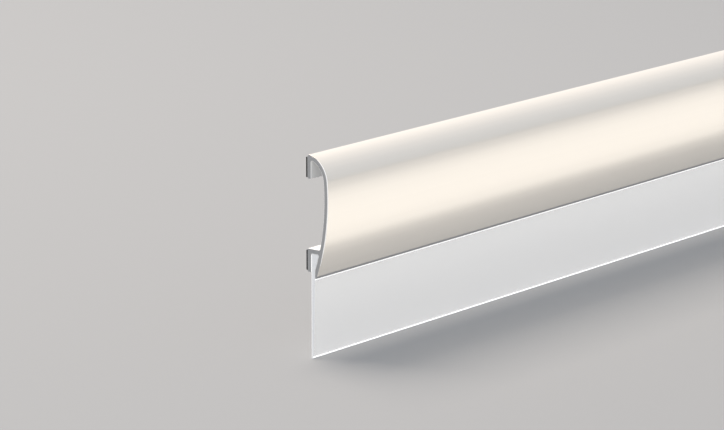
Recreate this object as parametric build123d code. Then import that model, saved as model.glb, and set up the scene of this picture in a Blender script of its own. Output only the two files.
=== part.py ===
from build123d import *

import os

# Self-adhesive door bottom seal, in millimetres.
#
# A rigid PVC carrier is taped along the foot of a door. Its bowed cover folds back at the crown to a flat
# upper pad, and a web ties its lower end to a flat lower pad. Cover, web and lower pad make a channel
# that narrows downwards. It holds the wedge-shaped head of a flexible fin, which closes the gap between
# the door and the floor. Carrier and fin have one section over their whole length, and are cut square.
#
# Frame: the origin is on the door's face, behind the middle of the upper tape. X runs along the seal, +Y
# goes into the door, so that the front faces -Y, and +Z is up. Sections are drawn in Y and Z, and every
# "drop" is measured down from the sharp corner of the crown.

# Whole seal
LENGTH = 914.0  # suits a 36 inch door
HEIGHT = 48.5  # crown to the fin's tip
DEPTH = 6.5  # door's face to the crest of the bow

# Carrier
WALL = 1.1
CREST_DROP = 10.4  # where the cover stands out most
SHOULDER_TURN = 4.8  # degrees that the bow goes on above the crest, before the tighter shoulder
LIP_DROP = 29.3
LIP_DEPTH = 3.05  # door's face to the outer corner of the lip
UPPER_PAD_HEIGHT = 5.8
WEB_DROP = 22.3
WEB_REACH = 4.6  # door's face to the end of the web, inside the cover's wall
LOWER_PAD_HEIGHT = 5.6

# Fin
NECK_THICKNESS = 1.1  # where the blade leaves the lip
TIP_THICKNESS = 0.5
BELLY = 0.12  # how far the blade's front bulges beyond a straight taper

# Tape
TAPE_WIDTH = 4.8
TAPE_THICKNESS = 0.4
UPPER_TAPE_DROP = 3.1  # to the middle of the tape's width

# Rounded corners
CROWN_ROUND = 0.6
FOLD_ROUND = 0.3  # inside the folds
EDGE_ROUND = 0.2  # pads, web, lip and fin's tip

UPPER_TAPE_Z = 0.0
CROWN_Z = UPPER_TAPE_Z + UPPER_TAPE_DROP
LIP_Z = CROWN_Z - LIP_DROP
TIP_Z = CROWN_Z - HEIGHT
UPPER_PAD_FOOT_Z = CROWN_Z - UPPER_PAD_HEIGHT
WEB_TOP_Z = CROWN_Z - WEB_DROP
WEB_FOOT_Z = WEB_TOP_Z - WALL
LOWER_PAD_FOOT_Z = WEB_TOP_Z - LOWER_PAD_HEIGHT
LOWER_TAPE_Z = (WEB_TOP_Z + LOWER_PAD_FOOT_Z) / 2
PAD_BACK_Y = -TAPE_THICKNESS
PAD_FRONT_Y = PAD_BACK_Y - WALL

# The cover's outer face: one arc falls from the crest to the lip, the same arc goes on a little above the
# crest, and the shoulder follows from there, tangent, to the crown.
CREST = (-DEPTH, CROWN_Z - CREST_DROP)
CROWN = (PAD_BACK_Y, CROWN_Z)
LIP = (-LIP_DEPTH, LIP_Z)
BOW = TangentArc(CREST, LIP, tangent=(0, -1))
UPPER_BOW = JernArc(CREST, tangent=(0, 1), radius=BOW.radius, arc_size=-SHOULDER_TURN)
SHOULDER = TangentArc(UPPER_BOW @ 1, CROWN, tangent=UPPER_BOW % 1)


def wall_in_front(path):
    """A wall of even thickness along a path that starts up a pad's back: the wall is on its left."""
    return make_face(offset(path, WALL, side=Side.LEFT))


def round_corners(section, radius, *points):
    """Rounds the corners of a section that lie nearest to the points."""
    for point in points:
        section = fillet(section.vertices().sort_by_distance(point)[0], radius)
    return section


def cover_and_upper_pad():
    """One folded wall: up the back of the pad, over the crown and down the front to the lip."""
    back = Line((PAD_BACK_Y, UPPER_PAD_FOOT_Z), CROWN)
    return wall_in_front(Wire([back, SHOULDER, UPPER_BOW, BOW]))


def web_and_lower_pad():
    """An angle: up the back of the pad, and forward along the top of the web into the cover's wall."""
    corner = (PAD_BACK_Y, WEB_TOP_Z)
    path = Polyline((PAD_BACK_Y, LOWER_PAD_FOOT_Z), corner, (-WEB_REACH, WEB_TOP_Z))
    return wall_in_front(path.wire())


def carrier_section():
    """The two walls together. The blade passes close behind the lip, and thins it from the inside."""
    section = cover_and_upper_pad() + web_and_lower_pad() - fin_blade()
    section = round_corners(section, CROWN_ROUND, CROWN)
    section = round_corners(
        section,
        FOLD_ROUND,
        (PAD_FRONT_Y, CROWN_Z - WALL),
        (-WEB_REACH, WEB_TOP_Z),
        (-WEB_REACH, WEB_FOOT_Z),
        (PAD_FRONT_Y, WEB_FOOT_Z),
    )
    return round_corners(
        section,
        EDGE_ROUND,
        LIP,
        (PAD_BACK_Y, UPPER_PAD_FOOT_Z),
        (PAD_FRONT_Y, UPPER_PAD_FOOT_Z),
        (PAD_BACK_Y, WEB_TOP_Z),
        (PAD_BACK_Y, LOWER_PAD_FOOT_Z),
        (PAD_FRONT_Y, LOWER_PAD_FOOT_Z),
    )


def fin_head():
    """What fills the channel: it ends in front at the cover's inner face, which narrows it downwards."""
    channel = Rectangle(DEPTH, WEB_FOOT_Z - LIP_Z, align=(Align.MAX, Align.MAX))
    inside_bow = Circle(BOW.radius - WALL)
    return Pos(PAD_FRONT_Y, WEB_FOOT_Z) * channel & Pos(BOW.arc_center) * inside_bow


def fin_blade():
    """Flat towards the door, and tapered in front from the lip to a thin tip."""
    back_top = (PAD_FRONT_Y, WEB_FOOT_Z)
    back_tip = (PAD_FRONT_Y, TIP_Z)
    tip = (PAD_FRONT_Y - TIP_THICKNESS, TIP_Z)
    neck = (PAD_FRONT_Y - NECK_THICKNESS, LIP_Z)
    front_top = (PAD_FRONT_Y - NECK_THICKNESS, WEB_FOOT_Z)
    outline = [SagittaArc(tip, neck, BELLY), Polyline(neck, front_top, back_top, back_tip, tip)]
    return round_corners(make_face(outline), EDGE_ROUND, back_tip, tip)


def fin_section():
    return fin_head() + fin_blade() - carrier_section()


def tape_section(middle_z):
    """Tape between the door's face and a pad's back."""
    return Pos(-TAPE_THICKNESS / 2, middle_z) * Rectangle(TAPE_THICKNESS, TAPE_WIDTH)


def write_part(name, section):
    """Extrudes a section over the whole length, both ways from the middle, and writes it."""
    solid = extrude(Plane.YZ * section, amount=LENGTH / 2, both=True)
    solid.label = name
    export_step(solid, f"parts/{name}.step")


os.makedirs("parts", exist_ok=True)
write_part("carrier", carrier_section())
write_part("sealing_fin", fin_section())
write_part("upper_adhesive_strip", tape_section(UPPER_TAPE_Z))
write_part("lower_adhesive_strip", tape_section(LOWER_TAPE_Z))
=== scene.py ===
import math

import bpy
import numpy as np
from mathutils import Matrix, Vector


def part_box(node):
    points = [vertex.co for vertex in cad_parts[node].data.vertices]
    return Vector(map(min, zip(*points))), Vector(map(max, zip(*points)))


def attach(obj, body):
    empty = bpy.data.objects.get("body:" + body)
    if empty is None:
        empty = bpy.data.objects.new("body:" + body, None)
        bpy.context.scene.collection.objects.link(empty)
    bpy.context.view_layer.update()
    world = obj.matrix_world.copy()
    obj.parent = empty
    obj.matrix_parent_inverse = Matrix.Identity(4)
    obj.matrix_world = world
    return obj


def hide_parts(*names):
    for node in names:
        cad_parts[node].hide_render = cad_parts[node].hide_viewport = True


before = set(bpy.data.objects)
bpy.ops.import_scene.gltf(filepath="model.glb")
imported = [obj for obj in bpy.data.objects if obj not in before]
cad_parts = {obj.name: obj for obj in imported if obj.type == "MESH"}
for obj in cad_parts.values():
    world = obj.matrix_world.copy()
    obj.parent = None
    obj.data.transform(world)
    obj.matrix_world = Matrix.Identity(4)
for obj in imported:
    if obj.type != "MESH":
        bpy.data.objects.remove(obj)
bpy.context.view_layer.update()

# The carrier: one extrusion of rigid PVC, cooled and sawn to length. Its bowed cover folds back at the
# crown to a flat pad, and a web ties its lower end to a second pad. The face is satin ivory. The inside,
# the pads, the sawn ends and a band along the lip's lowest edge are matt and painted greyer as shade, and
# the arrises are painted near-white as a highlight.
MM = 0.001
carrier_low, carrier_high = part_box("carrier")
fin_low, fin_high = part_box("sealing_fin")
LEFT_END = carrier_low.x
RIGHT_END = carrier_high.x
PAD_BACK_Y = carrier_high.y
PAD_FRONT_Y = fin_high.y
WALL = PAD_BACK_Y - PAD_FRONT_Y
CROWN = np.array([PAD_BACK_Y, 3.1 * MM])
CREST = np.array([-6.5 * MM, -7.3 * MM])
LIP = np.array([-3.05 * MM, -26.2 * MM])
SHOULDER_TURN = math.radians(4.8)
UPPER_PAD_FOOT_Z = -2.7 * MM
LOWER_PAD_FOOT_Z = -24.8 * MM
WEB_FOOT_Z = fin_high.z
WEB_TOP_Z = WEB_FOOT_Z + WALL
NECK_Y = PAD_FRONT_Y - 1.1 * MM
CROWN_ROUND = 0.6 * MM
FOLD_ROUND = 0.3 * MM
EDGE_ROUND = 0.2 * MM
SAWN_ARRIS = 0.06 * MM
FACE_ARRIS = 0.15 * MM
INNER_ARRIS = 0.09 * MM
ON_FACE = 0.001 * MM
LIP_CLEAR = 2.5 * MM
CROWN_CLEAR = 0.8 * MM
LIP_FADE = 5.0 * MM
CROWN_FADE = 1.5 * MM
# A band of this width along the lip's lowest edge is painted dark grey as shade.
LIP_SHADE_BAND = 0.7 * MM
SAW_SLANT = math.radians(24)
RIGID_PVC_IOR = 1.54
PEARL_SHEEN = 0.35
# An arris with more than this share of the wider sizes is painted near-white as a highlight.
HIGHLIGHT_SHARE = 0.15
SECTION_STEP = 0.25 * MM
ROUND_POINTS = 8
ARRIS_STEPS = 4

# The numbers of a piece's materials. Its flat ends always have number 1.
LONG_FACE = 0
FLAT_END = 1
# Number 2 is painted near-white as a highlight.
PAINTED_HIGHLIGHT = 2
# Number 3 is the inside, painted greyer as shade.
SHADED_INSIDE = 3

# The bow's arc is upright at the crest and passes through the lip. The shoulder's arc leaves the bow along
# its tangent and passes through the crown. Points of a section are (Y, Z).
bow_radius = float((LIP - CREST) @ (LIP - CREST) / (2 * (LIP - CREST)[0]))
bow_centre = CREST + [bow_radius, 0]
shoulder_inward = np.array([math.cos(SHOULDER_TURN), -math.sin(SHOULDER_TURN)])
shoulder_start = bow_centre - bow_radius * shoulder_inward
to_crown = CROWN - shoulder_start
shoulder_radius = float(to_crown @ to_crown / (2 * to_crown @ shoulder_inward))
shoulder_centre = shoulder_start + shoulder_radius * shoulder_inward


def straight(start, end):
    """Points in even steps along a line from start to end."""
    start, end = np.array(start), np.array(end)
    count = max(3, math.ceil(np.linalg.norm(end - start) / SECTION_STEP) + 1)
    return start + np.linspace(0, 1, count)[:, None] * (end - start)


def arc(centre, radius, start, end):
    """Points in even steps on a circle, from the angle start to the angle end, in radians from +Y."""
    count = max(5, math.ceil(abs(end - start) * radius / SECTION_STEP) + 1)
    turn = np.linspace(start, end, count)
    return centre + radius * np.stack([np.cos(turn), np.sin(turn)], axis=1)


def cut_back(stretch, distance):
    """Drops that much of a stretch's end, measured along it. Gives the rest and its direction there."""
    steps = np.linalg.norm(np.diff(stretch, axis=0), axis=1)
    run = np.concatenate([[0], np.cumsum(steps)])
    left = run[-1] - distance
    end = np.stack([np.interp(left, run, stretch[:, axis]) for axis in (0, 1)])
    kept = stretch[run < left - 1e-9]
    direction = end - kept[-1]
    return np.vstack([kept, end]), direction / np.linalg.norm(direction)


def eased(stretches, rounds):
    """The closed outline through the stretches, with the corner at the end of each one rounded.

    Both sides are cut back by the radius times the tangent of half the turn. A cubic curve joins them. It
    leaves each side along its own direction, with handles of 4/3 tan(turn / 4) radii, and comes near an arc.
    """
    ends = [stretch.copy() for stretch in stretches]
    curves = []
    for index, radius in enumerate(rounds):
        after = (index + 1) % len(ends)
        if radius == 0:
            curves.append(np.empty((0, 2)))
            continue
        arriving = ends[index][-1] - ends[index][-2]
        leaving = ends[after][1] - ends[after][0]
        turn = abs(math.atan2(arriving[0] * leaving[1] - arriving[1] * leaving[0], arriving @ leaving))
        cut = radius * math.tan(turn / 2)
        ends[index], forward = cut_back(ends[index], cut)
        flipped, backward = cut_back(ends[after][::-1], cut)
        ends[after] = flipped[::-1]
        handle = 4 / 3 * math.tan(turn / 4) * radius
        first = ends[index][-1]
        last = ends[after][0]
        share = np.linspace(0, 1, ROUND_POINTS)[1:-1, None]
        rest = 1 - share
        curves.append(
            rest**3 * first
            + 3 * rest**2 * share * (first + handle * forward)
            + 3 * rest * share**2 * (last + handle * backward)
            + share**3 * last
        )
    pieces = []
    for stretch, curve, radius in zip(ends, curves, rounds):
        pieces += [stretch, curve] if radius else [stretch[:-1]]
    outline = np.vstack(pieces)
    after = np.roll(outline, -1, axis=0)
    twice_area = np.sum(outline[:, 0] * after[:, 1] - after[:, 0] * outline[:, 1])
    return outline if twice_area > 0 else outline[::-1]


def outward(outline):
    """Each point's outward direction, lengthened at a bend so that a moved outline keeps its distance."""
    before = outline - np.roll(outline, 1, axis=0)
    after = np.roll(outline, -1, axis=0) - outline
    before /= np.linalg.norm(before, axis=1)[:, None]
    after /= np.linalg.norm(after, axis=1)[:, None]
    along = before + after
    along /= np.linalg.norm(along, axis=1)[:, None]
    lengthened = np.maximum(np.sum(along * after, axis=1), 0.5)[:, None]
    return np.stack([along[:, 1], -along[:, 0]], axis=1) / lengthened


def evened(share):
    """The mean of each value and its two neighbours to either side, round a closed outline."""
    return sum(np.roll(share, step) for step in range(-2, 3)) / 5


def extruded(name, outline, arris, materials, sides=0, ends=0):
    """A section carried along X and closed at both ends by flat faces.

    Row i, column j of the grid is the outline's point j at x(i, j). To each end the outline moves in by a
    quarter circle of the arris's size there. Sides and ends are the material numbers, along the outline, of
    the long faces and of the arrises. The UV map "skin" holds the distance round the section and x, in
    metres, and on the flat ends Y and Z.
    """
    quarter = np.linspace(math.pi / 2, 0, ARRIS_STEPS)[:, None]
    from_end = arris * np.ones(len(outline)) * (1 - np.sin(quarter))
    inset = arris * np.ones(len(outline)) * (1 - np.cos(quarter))
    along = np.vstack([LEFT_END + from_end, RIGHT_END - from_end[::-1]])
    inset = np.vstack([inset, inset[::-1]])
    grid = np.dstack([along, outline - outward(outline) * inset[..., None]])
    rows, columns = along.shape
    row, column = np.meshgrid(np.arange(rows - 1), np.arange(columns), indexing="ij")
    beside = (column + 1) % columns
    corners = [row * columns + column, row * columns + beside]
    corners += [(row + 1) * columns + beside, (row + 1) * columns + column]
    quads = np.stack(corners, axis=-1).reshape(-1, 4)
    left_cap = np.arange(columns)[::-1]
    right_cap = (rows - 1) * columns + np.arange(columns)
    mesh = bpy.data.meshes.new(name)
    faces = quads.tolist() + [left_cap.tolist(), right_cap.tolist()]
    points = grid.reshape(-1, 3)
    mesh.from_pydata(points.tolist(), [], faces)
    steps = np.linalg.norm(np.roll(outline, -1, axis=0) - outline, axis=1)
    distance = np.concatenate([[0], np.cumsum(steps)])
    near, far = distance[column].ravel(), distance[column + 1].ravel()
    round_it = np.stack([near, far, far, near], axis=-1)
    skin = np.stack([round_it, points[quads][..., 0]], axis=-1).reshape(-1, 2)
    skin = np.vstack([skin, points[left_cap][:, 1:], points[right_cap][:, 1:]])
    mesh.uv_layers.new(name="skin").data.foreach_set("uv", skin.ravel())
    numbers = np.tile(sides * np.ones(columns, int), (rows - 1, 1))
    numbers[: ARRIS_STEPS - 1] = ends
    numbers[ARRIS_STEPS:] = ends
    mesh.polygons.foreach_set("material_index", np.append(numbers, [FLAT_END, FLAT_END]))
    mesh.polygons.foreach_set("use_smooth", np.arange(len(faces)) < len(quads))
    for material in materials:
        mesh.materials.append(material)
    mesh.update()
    piece = bpy.data.objects.new(name, mesh)
    bpy.context.scene.collection.objects.link(piece)
    return piece


class Wire:
    """A node's output socket. Arithmetic on it adds a Math node and gives that node's output."""

    def __init__(self, socket):
        self.socket = socket

    def maths(self, operation, first, second):
        tree = self.socket.id_data
        node = tree.nodes.new("ShaderNodeMath")
        node.operation = operation
        connect(tree, node.inputs[0], first)
        connect(tree, node.inputs[1], second)
        return Wire(node.outputs[0])

    def __add__(self, other):
        return self.maths("ADD", self, other)

    def __radd__(self, other):
        return self.maths("ADD", other, self)

    def __mul__(self, other):
        return self.maths("MULTIPLY", self, other)

    def __rmul__(self, other):
        return self.maths("MULTIPLY", other, self)


def connect(tree, socket, value):
    """Links a wire to an input socket, or sets a plain value on it."""
    if isinstance(value, Wire):
        tree.links.new(value.socket, socket)
    else:
        socket.default_value = value


# The Mix node's sockets share their names between kinds of data, so its colour sockets go by number.
MIX_AMOUNT = 0
MIX_FIRST = 6
MIX_SECOND = 7
MIX_COLOUR = 2


class Finish:
    """A material, whose nodes are added one by one."""

    def __init__(self, name):
        self.material = bpy.data.materials.new(name)
        self.material.use_nodes = True
        self.tree = self.material.node_tree
        self.tree.nodes.clear()

    def add(self, kind, settings=None, values=None, output=0):
        """Adds a node: its settings first, then the values or wires of its inputs. Gives an output."""
        node = self.tree.nodes.new(kind)
        for name, value in (settings or {}).items():
            setattr(node, name, value)
        for name, value in (values or {}).items():
            connect(self.tree, node.inputs[name], value)
        return Wire(node.outputs[output])

    def noise(self, where, stretch, detail, roughness=0.5):
        """Noise from 0 to 1, whose grain is 1 / stretch metres along each axis of the coordinates."""
        placed = self.add("ShaderNodeMapping", values={"Vector": where, "Scale": stretch})
        values = {"Vector": placed, "Scale": 1.0, "Detail": detail, "Roughness": roughness}
        return self.add("ShaderNodeTexNoise", {"noise_dimensions": "3D"}, values, output="Fac")

    def between(self, amount, dark, light):
        """A colour between two, by an amount from 0 to 1."""
        values = {MIX_AMOUNT: amount, MIX_FIRST: (*dark, 1), MIX_SECOND: (*light, 1)}
        return self.add("ShaderNodeMix", {"data_type": "RGBA"}, values, output=MIX_COLOUR)

    def relief(self, height, depth, strength):
        """The normal of a surface pitted by a height from 0 to 1, of that depth in metres."""
        values = {"Strength": strength, "Distance": depth, "Height": height}
        return self.add("ShaderNodeBump", values=values)

    def finished(self, values):
        """Ends the material in a Principled shader with those inputs."""
        shader = self.add("ShaderNodeBsdfPrincipled", values=values)
        surface = self.tree.nodes.new("ShaderNodeOutputMaterial").inputs["Surface"]
        connect(self.tree, surface, shader)
        return self.material


def ivory_skin():
    """Satin rigid PVC with a pearl sheen, made by a partly metallic shader.

    Noise stretched along X gives the die's fine and broad lines, and a fine round grain the peel.
    """
    finish = Finish("ivory_rigid_pvc_skin")
    skin = finish.add("ShaderNodeUVMap", {"uv_map": "skin"})
    place = finish.add("ShaderNodeTexCoord", output="Object")
    die_lines = finish.noise(skin, (5500, 0.5, 1), 3, 0.6)
    broad_lines = finish.noise(skin, (700, 0.4, 1), 2)
    peel = finish.noise(place, (1500, 1500, 1500), 2)
    tone = broad_lines * 0.6 + die_lines * 0.4
    height = die_lines * 0.6 + broad_lines * 0.3 + peel * 0.1
    return finish.finished(
        {
            "Base Color": finish.between(tone, (0.80, 0.757, 0.694), (0.87, 0.826, 0.763)),
            "Metallic": PEARL_SHEEN,
            "Roughness": 0.19 + die_lines * 0.05 + peel * 0.03,
            "IOR": RIGID_PVC_IOR,
            "Normal": finish.relief(height, 0.012 * MM, 0.35),
        }
    )


def sawn_end_painted_shade():
    """The sawn end of rigid PVC: matt, with slanting marks of the teeth, painted mid grey as shade."""
    finish = Finish("ivory_rigid_pvc_sawn_end_painted_shade")
    place = finish.add("ShaderNodeTexCoord", output="Object")
    turned = finish.add("ShaderNodeMapping", values={"Vector": place, "Rotation": (SAW_SLANT, 0, 0)})
    marks = finish.noise(turned, (1, 900, 5200), 3, 0.6)
    mottle = finish.noise(place, (1300, 1300, 1300), 3)
    tone = marks * 0.5 + mottle * 0.5
    return finish.finished(
        {
            "Base Color": finish.between(tone, (0.24, 0.242, 0.245), (0.33, 0.332, 0.335)),
            "Roughness": 0.5 + marks * 0.15,
            "IOR": RIGID_PVC_IOR,
            "Normal": finish.relief(marks, 0.03 * MM, 0.6),
        }
    )


def arris_painted_highlight():
    """The arris that the saw leaves along the cover's face: the same PVC, painted near-white as a highlight.
    """
    finish = Finish("ivory_rigid_pvc_arris_painted_highlight")
    place = finish.add("ShaderNodeTexCoord", output="Object")
    highlight_mottle = finish.noise(place, (2600, 2600, 2600), 3)
    return finish.finished(
        {
            "Base Color": finish.between(highlight_mottle, (0.90, 0.885, 0.86), (0.97, 0.96, 0.945)),
            "Roughness": 0.3 + highlight_mottle * 0.15,
            "IOR": RIGID_PVC_IOR,
            "Normal": finish.relief(highlight_mottle, 0.02 * MM, 0.4),
        }
    )


def inside_painted_shade():
    """The inside of the cover and the pads: matt, painted greyer as shade, with the die's lines along X."""
    finish = Finish("ivory_rigid_pvc_inside_painted_shade")
    skin = finish.add("ShaderNodeUVMap", {"uv_map": "skin"})
    place = finish.add("ShaderNodeTexCoord", output="Object")
    die_lines = finish.noise(skin, (3500, 2, 1), 3, 0.6)
    peel = finish.noise(place, (1200, 1200, 1200), 2)
    tone = die_lines * 0.7 + peel * 0.3
    return finish.finished(
        {
            "Base Color": finish.between(tone, (0.66, 0.662, 0.66), (0.75, 0.752, 0.748)),
            "Roughness": 0.5 + peel * 0.12,
            "IOR": RIGID_PVC_IOR,
            "Normal": finish.relief(die_lines * 0.6 + peel * 0.4, 0.015 * MM, 0.4),
        }
    )


def inner_angle(radius, z, centre):
    """The angle at which a circle of the cover's inner face comes to a height, on its front side."""
    return math.pi - math.asin((z - centre[1]) / radius)


crown_angle = math.atan2(*(CROWN - shoulder_centre)[::-1])
lip_angle = math.atan2(*(LIP - bow_centre)[::-1]) % (2 * math.pi)
lip_shade_angle = lip_angle - LIP_SHADE_BAND / bow_radius
lip_shade_top_z = bow_centre[1] + bow_radius * math.sin(lip_shade_angle)
blend_angle = math.pi - SHOULDER_TURN
inner_bow = bow_radius - WALL
inner_shoulder = shoulder_radius - WALL
fold_z = shoulder_centre[1] + math.sqrt(inner_shoulder**2 - (PAD_FRONT_Y - shoulder_centre[0]) ** 2)
fold_angle = math.atan2(fold_z - shoulder_centre[1], PAD_FRONT_Y - shoulder_centre[0])
web_top_angle = inner_angle(inner_bow, WEB_TOP_Z, bow_centre)
web_foot_angle = inner_angle(inner_bow, WEB_FOOT_Z, bow_centre)
neck_angle = 2 * math.pi - math.acos((NECK_Y - bow_centre[0]) / inner_bow)
neck_top_z = bow_centre[1] + inner_bow * math.sin(neck_angle)
lip_inward = (bow_centre - LIP) / bow_radius
lip_foot_z = LIP[1] + (NECK_Y - LIP[0]) / lip_inward[0] * lip_inward[1]

carrier_stretches = [
    np.vstack(
        [
            arc(bow_centre, bow_radius, lip_angle, lip_shade_angle)[:-1],
            arc(bow_centre, bow_radius, lip_shade_angle, blend_angle)[:-1],
            arc(shoulder_centre, shoulder_radius, blend_angle, crown_angle),
        ]
    ),
    straight(CROWN, (PAD_BACK_Y, UPPER_PAD_FOOT_Z)),
    straight((PAD_BACK_Y, UPPER_PAD_FOOT_Z), (PAD_FRONT_Y, UPPER_PAD_FOOT_Z)),
    straight((PAD_FRONT_Y, UPPER_PAD_FOOT_Z), (PAD_FRONT_Y, fold_z)),
    np.vstack(
        [
            arc(shoulder_centre, inner_shoulder, fold_angle, blend_angle)[:-1],
            arc(bow_centre, inner_bow, blend_angle, web_top_angle),
        ]
    ),
    straight(
        bow_centre + inner_bow * np.array([math.cos(web_top_angle), math.sin(web_top_angle)]),
        (PAD_BACK_Y, WEB_TOP_Z),
    ),
    straight((PAD_BACK_Y, WEB_TOP_Z), (PAD_BACK_Y, LOWER_PAD_FOOT_Z)),
    straight((PAD_BACK_Y, LOWER_PAD_FOOT_Z), (PAD_FRONT_Y, LOWER_PAD_FOOT_Z)),
    straight((PAD_FRONT_Y, LOWER_PAD_FOOT_Z), (PAD_FRONT_Y, WEB_FOOT_Z)),
    straight(
        (PAD_FRONT_Y, WEB_FOOT_Z),
        bow_centre + inner_bow * np.array([math.cos(web_foot_angle), math.sin(web_foot_angle)]),
    ),
    arc(bow_centre, inner_bow, web_foot_angle, neck_angle),
    straight((NECK_Y, neck_top_z), (NECK_Y, lip_foot_z)),
    straight((NECK_Y, lip_foot_z), LIP),
]
carrier_rounds = [CROWN_ROUND, EDGE_ROUND, EDGE_ROUND, FOLD_ROUND, FOLD_ROUND, EDGE_ROUND, EDGE_ROUND]
carrier_rounds += [EDGE_ROUND, FOLD_ROUND, FOLD_ROUND, 0, 0, EDGE_ROUND]
carrier_outline = eased(carrier_stretches, carrier_rounds)

# The sawn arris is wide and painted white as a highlight along the cover's own face, and fades out
# towards the crown and the lip. It is narrower, and painted as white, along the inner faces. Elsewhere it is
# narrowest and keeps that side's finish. A band along the lip's lowest edge has the finish of the sawn
# ends, painted dark grey as shade.
bow_distance = np.linalg.norm(carrier_outline - bow_centre, axis=1)
shoulder_distance = np.linalg.norm(carrier_outline - shoulder_centre, axis=1)
below_shoulder = carrier_outline[:, 1] <= shoulder_start[1]


def on_cover(radius_on_bow, radius_on_shoulder):
    """Which points of the outline lie on the cover's face with those radii."""
    on_bow = below_shoulder & (np.abs(bow_distance - radius_on_bow) < ON_FACE)
    return on_bow | (~below_shoulder & (np.abs(shoulder_distance - radius_on_shoulder) < ON_FACE))


above_lip = np.clip((carrier_outline[:, 1] - LIP[1] - LIP_CLEAR) / LIP_FADE, 0, 1)
below_crown = np.clip((CROWN[1] - CROWN_CLEAR - carrier_outline[:, 1]) / CROWN_FADE, 0, 1)
face_share = evened(on_cover(bow_radius, shoulder_radius) * above_lip * below_crown)
on_pad_front = np.abs(carrier_outline[:, 0] - PAD_FRONT_Y) < ON_FACE
inner_share = evened(1.0 * (on_cover(inner_bow, inner_shoulder) | on_pad_front))
near_face = evened(1.0 * on_cover(bow_radius, shoulder_radius)) > 0
# The lip's lowest band gets the sawn ends' colour, painted dark grey as shade.
in_lip_shade = carrier_outline[:, 1] < lip_shade_top_z + ON_FACE
# The inside gets a colour painted greyer as shade.
carrier_sides = np.where(in_lip_shade, FLAT_END, np.where(near_face, LONG_FACE, SHADED_INSIDE))
# The near-white on the arrises is a painted highlight.
carrier = extruded(
    "carrier_skin",
    carrier_outline,
    SAWN_ARRIS + (FACE_ARRIS - SAWN_ARRIS) * face_share + (INNER_ARRIS - SAWN_ARRIS) * inner_share,
    [ivory_skin(), sawn_end_painted_shade(), arris_painted_highlight(), inside_painted_shade()],
    sides=carrier_sides,
    ends=np.where(face_share + inner_share > HIGHLIGHT_SHARE, PAINTED_HIGHLIGHT, carrier_sides),
)
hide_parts("carrier")
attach(carrier, "root")

# The fin: flexible clear PVC, extruded with the carrier and welded into its channel, with a small bead
# right under the lip. Its blade thins towards the floor. The faces are hazy. The cut ends are whitish, and
# the tip, the bead and the back's cut arrises are painted near-white with a glow, as a highlight.
TIP_Z = fin_low.z
TIP_THICKNESS = 0.5 * MM
BLADE_BELLY = 0.12 * MM
WELD_GAP = 0.015 * MM
FIN_ARRIS = 0.06 * MM
BACK_ARRIS = 0.15 * MM
TIP_BAND = 0.16 * MM
BEAD_HEIGHT = 0.33 * MM
BEAD_BULGE = 0.08 * MM
FLEXIBLE_PVC_IOR = 1.53
HAZE = 0.22
HAZE_GLOW = 0.3
EDGE_HAZE = 0.95
EDGE_GLOW = 0.55


def bulged(start, end, sagitta):
    """Points along a shallow arc: the chord, moved to the right of its direction by the sagitta times
    1 - share^2, where the share goes from -1 at the start to 1 at the end.
    """
    chord = straight(start, end)
    share = np.linspace(-1, 1, len(chord))[:, None]
    across = np.array([end[1] - start[1], start[0] - end[0]])
    across /= np.linalg.norm(across)
    return chord + across * sagitta * (1 - share**2)


def clear_face():
    """Clear flexible PVC with a haze and soft streaks from the die.

    A constant faint glow stands in for the light that scatters inside it.
    """
    finish = Finish("clear_flexible_pvc_face")
    skin = finish.add("ShaderNodeUVMap", {"uv_map": "skin"})
    streaks = finish.noise(skin, (1500, 2, 1), 3)
    return finish.finished(
        {
            "Base Color": finish.between(streaks, (0.86, 0.885, 0.9), (0.94, 0.955, 0.96)),
            "Roughness": 0.16 + streaks * 0.08,
            "IOR": FLEXIBLE_PVC_IOR,
            "Alpha": HAZE,
            "Emission Color": (1, 1, 1, 1),
            "Emission Strength": HAZE_GLOW,
            "Normal": finish.relief(streaks, 0.02 * MM, 0.3),
        }
    )


def clear_edge(name, dark, light, glow):
    """A cut or thin edge of the same PVC, nearly opaque.

    A constant glow, if any, stands in for the light that enters by the faces and comes out at the edge.
    """
    finish = Finish(name)
    place = finish.add("ShaderNodeTexCoord", output="Object")
    grain = finish.noise(place, (60, 2600, 2600), 3)
    return finish.finished(
        {
            "Base Color": finish.between(grain, dark, light),
            "Roughness": 0.35 + grain * 0.15,
            "IOR": FLEXIBLE_PVC_IOR,
            "Alpha": EDGE_HAZE,
            "Emission Color": (1, 1, 1, 1),
            "Emission Strength": glow,
            "Normal": finish.relief(grain, 0.02 * MM, 0.4),
        }
    )


head_back_y = PAD_FRONT_Y - WELD_GAP
head_top_z = WEB_FOOT_Z - WELD_GAP
head_bow = inner_bow - WELD_GAP
blade_front_y = NECK_Y + WELD_GAP
head_top_angle = inner_angle(head_bow, head_top_z, bow_centre)
head_foot_angle = 2 * math.pi - math.acos((blade_front_y - bow_centre[0]) / head_bow)
head_foot_z = bow_centre[1] + head_bow * math.sin(head_foot_angle)

# The bead's circle passes through both ends of a chord as long as the bead is high and bulges out from it,
# so its radius is (half the chord squared + the bulge squared) / twice the bulge.
bead_foot_z = LIP[1] - BEAD_HEIGHT
bead_radius = (BEAD_HEIGHT**2 / 4 + BEAD_BULGE**2) / (2 * BEAD_BULGE)
bead_centre = np.array([blade_front_y - BEAD_BULGE + bead_radius, LIP[1] - BEAD_HEIGHT / 2])
bead_turn = math.asin(BEAD_HEIGHT / 2 / bead_radius)

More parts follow.
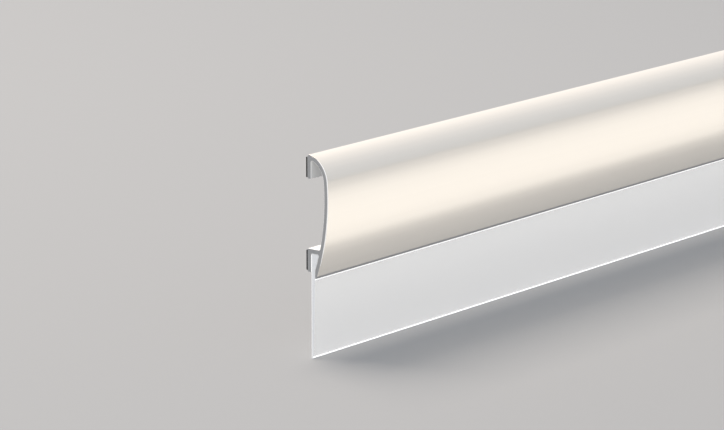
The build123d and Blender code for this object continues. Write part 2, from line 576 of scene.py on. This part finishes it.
fin_stretches = [
    straight(
        (head_back_y, head_top_z),
        bow_centre + head_bow * np.array([math.cos(head_top_angle), math.sin(head_top_angle)]),
    ),
    arc(bow_centre, head_bow, head_top_angle, head_foot_angle),
    straight((blade_front_y, head_foot_z), (blade_front_y, LIP[1])),
    arc(bead_centre, bead_radius, math.pi - bead_turn, math.pi + bead_turn),
    bulged((blade_front_y, bead_foot_z), (PAD_FRONT_Y - TIP_THICKNESS, TIP_Z), BLADE_BELLY),
    straight((PAD_FRONT_Y - TIP_THICKNESS, TIP_Z), (head_back_y, TIP_Z)),
    straight((head_back_y, TIP_Z), (head_back_y, head_top_z)),
]
fin_rounds = [FOLD_ROUND, 0, 0, 0, EDGE_ROUND, EDGE_ROUND, FOLD_ROUND]
fin_outline = eased(fin_stretches, fin_rounds)
at_tip = fin_outline[:, 1] < TIP_Z + TIP_BAND
beside_bead = np.abs(fin_outline[:, 1] - bead_centre[1]) < BEAD_HEIGHT / 2 - ON_FACE
on_bead = beside_bead & (fin_outline[:, 0] < blade_front_y + ON_FACE)
# The tip and the bead are painted near-white with a glow, as a highlight.
painted_glow = at_tip | on_bead
on_blade_back = (fin_outline[:, 0] > head_back_y - ON_FACE) & (fin_outline[:, 1] < head_top_z - FOLD_ROUND)
# The thin edge's near-white and glow on the tip, the bead and the back's arrises are a painted highlight.
fin = extruded(
    "sealing_fin_clear",
    fin_outline,
    FIN_ARRIS + (BACK_ARRIS - FIN_ARRIS) * evened(on_blade_back * 1.0),
    [
        clear_face(),
        clear_edge("clear_flexible_pvc_cut_end", (0.7, 0.71, 0.72), (0.82, 0.83, 0.84), glow=0.0),
        clear_edge("clear_flexible_pvc_thin_edge", (0.9, 0.92, 0.93), (0.98, 0.985, 0.99), glow=EDGE_GLOW),
    ],
    sides=np.where(painted_glow, PAINTED_HIGHLIGHT, LONG_FACE),
    ends=np.where(painted_glow | on_blade_back, PAINTED_HIGHLIGHT, LONG_FACE),
)
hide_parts("sealing_fin")
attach(fin, "root")

# The two adhesive strips: double-sided tape of black closed-cell foam, slit from a wide roll and rolled on
# to the backs of the pads, so that the edges bulge a little and show cut cells.
TAPE_BULGE = 0.05 * MM


def black_foam():
    """Matt black foam: cell pits painted darker deep down and greyer at the rim as shade, varied by noise.
    """
    finish = Finish("black_closed_cell_foam")
    place = finish.add("ShaderNodeTexCoord", output="Object")
    values = {"Vector": place, "Scale": 3800.0}
    cells = finish.add("ShaderNodeTexVoronoi", {"feature": "F1"}, values, output="Distance")
    grain = finish.noise(place, (2200, 2200, 2200), 3)
    height = cells * 0.7 + grain * 0.3
    return finish.finished(
        {
            "Base Color": finish.between(height, (0.004, 0.004, 0.0045), (0.016, 0.016, 0.017)),
            "Roughness": 0.8 + grain * 0.12,
            "Specular IOR Level": 0.15,
            "Normal": finish.relief(height, 0.06 * MM, 0.7),
        }
    )


foam = black_foam()
for node in ("upper_adhesive_strip", "lower_adhesive_strip"):
    tape_low, tape_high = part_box(node)
    tape_stretches = [
        straight((tape_low.y, tape_low.z + TAPE_BULGE), (tape_low.y, tape_high.z - TAPE_BULGE)),
        bulged(
            (tape_low.y, tape_high.z - TAPE_BULGE), (tape_high.y, tape_high.z - TAPE_BULGE), -TAPE_BULGE
        ),
        straight((tape_high.y, tape_high.z - TAPE_BULGE), (tape_high.y, tape_low.z + TAPE_BULGE)),
        bulged(
            (tape_high.y, tape_low.z + TAPE_BULGE), (tape_low.y, tape_low.z + TAPE_BULGE), -TAPE_BULGE
        ),
    ]
    tape = extruded(f"{node}_foam", eased(tape_stretches, [0, 0, 0, 0]), TAPE_BULGE, [foam, foam])
    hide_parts(node)
    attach(tape, "root")

# The stage: a plain pale floor under the fin's tip, a warm key behind and above, a cool fill at the left,
# a flat panel lying on the floor in front, whose mirror image is the bright band on the cover, a cool sky,
# and the camera in front at the left end.
FLOOR_HALF = 4.0
FLOOR_COLOUR = (0.272, 0.282, 0.294)
SEAL_AIM = (-0.38, 0, -0.02)
PANEL_Y = -0.1335
PANEL_LIFT = 0.5 * MM
SKY_COLOUR = (0.85, 0.91, 1.0)
SKY_STRENGTH = 0.66
CAMERA_PLACE = Vector((-1.05904, -0.50538, 0.16997))
CAMERA_YAW = math.radians(50.928)
CAMERA_DIP = math.radians(12.993)
CAMERA_LENS = 173.6


def pale_floor():
    """Pale matt board."""
    finish = Finish("pale_floor")
    place = finish.add("ShaderNodeTexCoord", output="Object")
    grain = finish.noise(place, (900, 900, 900), 2)
    dark = tuple(part * 0.99 for part in FLOOR_COLOUR)
    return finish.finished({"Base Color": finish.between(grain, dark, FLOOR_COLOUR), "Roughness": 0.85})


def soft_box(name, place, aim, width, height, power, colour):
    """An area lamp at a place, turned to an aim, that the camera doesn't see."""
    lamp = bpy.data.lights.new(name, "AREA")
    lamp.shape = "RECTANGLE"
    lamp.size = width
    lamp.size_y = height
    lamp.energy = power
    lamp.color = colour
    box = bpy.data.objects.new(name, lamp)
    box.location = place
    box.rotation_euler = (Vector(aim) - Vector(place)).to_track_quat("-Z", "Y").to_euler()
    box.visible_camera = False
    bpy.context.scene.collection.objects.link(box)


floor_mesh = bpy.data.meshes.new("floor")
floor_corners = [(-FLOOR_HALF, -FLOOR_HALF), (FLOOR_HALF, -FLOOR_HALF), (FLOOR_HALF, FLOOR_HALF)]
floor_corners += [(-FLOOR_HALF, FLOOR_HALF)]
floor_mesh.from_pydata([(x, y, TIP_Z) for x, y in floor_corners], [], [(0, 1, 2, 3)])
floor_mesh.materials.append(pale_floor())
floor = bpy.data.objects.new("floor", floor_mesh)
bpy.context.scene.collection.objects.link(floor)

soft_box(
    "back_key",
    place=(-0.38, 0.634, 1.339),
    aim=SEAL_AIM,
    width=1.1,
    height=1.1,
    power=37.5,
    colour=(1.0, 0.885, 0.77),
)
soft_box(
    "left_fill",
    place=(-1.85, -0.16, 0.3),
    aim=SEAL_AIM,
    width=0.5,
    height=0.5,
    power=5,
    colour=(0.96, 0.98, 1.0),
)
soft_box(
    "low_panel",
    place=(0, PANEL_Y, TIP_Z + PANEL_LIFT),
    aim=(0, PANEL_Y, 0),
    width=1.3,
    height=0.185,
    power=0.9,
    colour=(1.0, 0.945, 0.865),
)

sky = bpy.data.worlds.new("studio")
sky.use_nodes = True
background = sky.node_tree.nodes["Background"]
background.inputs["Color"].default_value = (*SKY_COLOUR, 1)
background.inputs["Strength"].default_value = SKY_STRENGTH
bpy.context.scene.world = sky
bpy.context.scene.view_settings.view_transform = "Standard"

lens = bpy.data.cameras.new("camera")
lens.lens = CAMERA_LENS
lens.clip_start = 0.01
lens.clip_end = 20
camera = bpy.data.objects.new("camera", lens)
camera.location = CAMERA_PLACE
camera.rotation_euler = (math.pi / 2 - CAMERA_DIP, 0, -CAMERA_YAW)
bpy.context.scene.collection.objects.link(camera)
bpy.context.scene.camera = camera
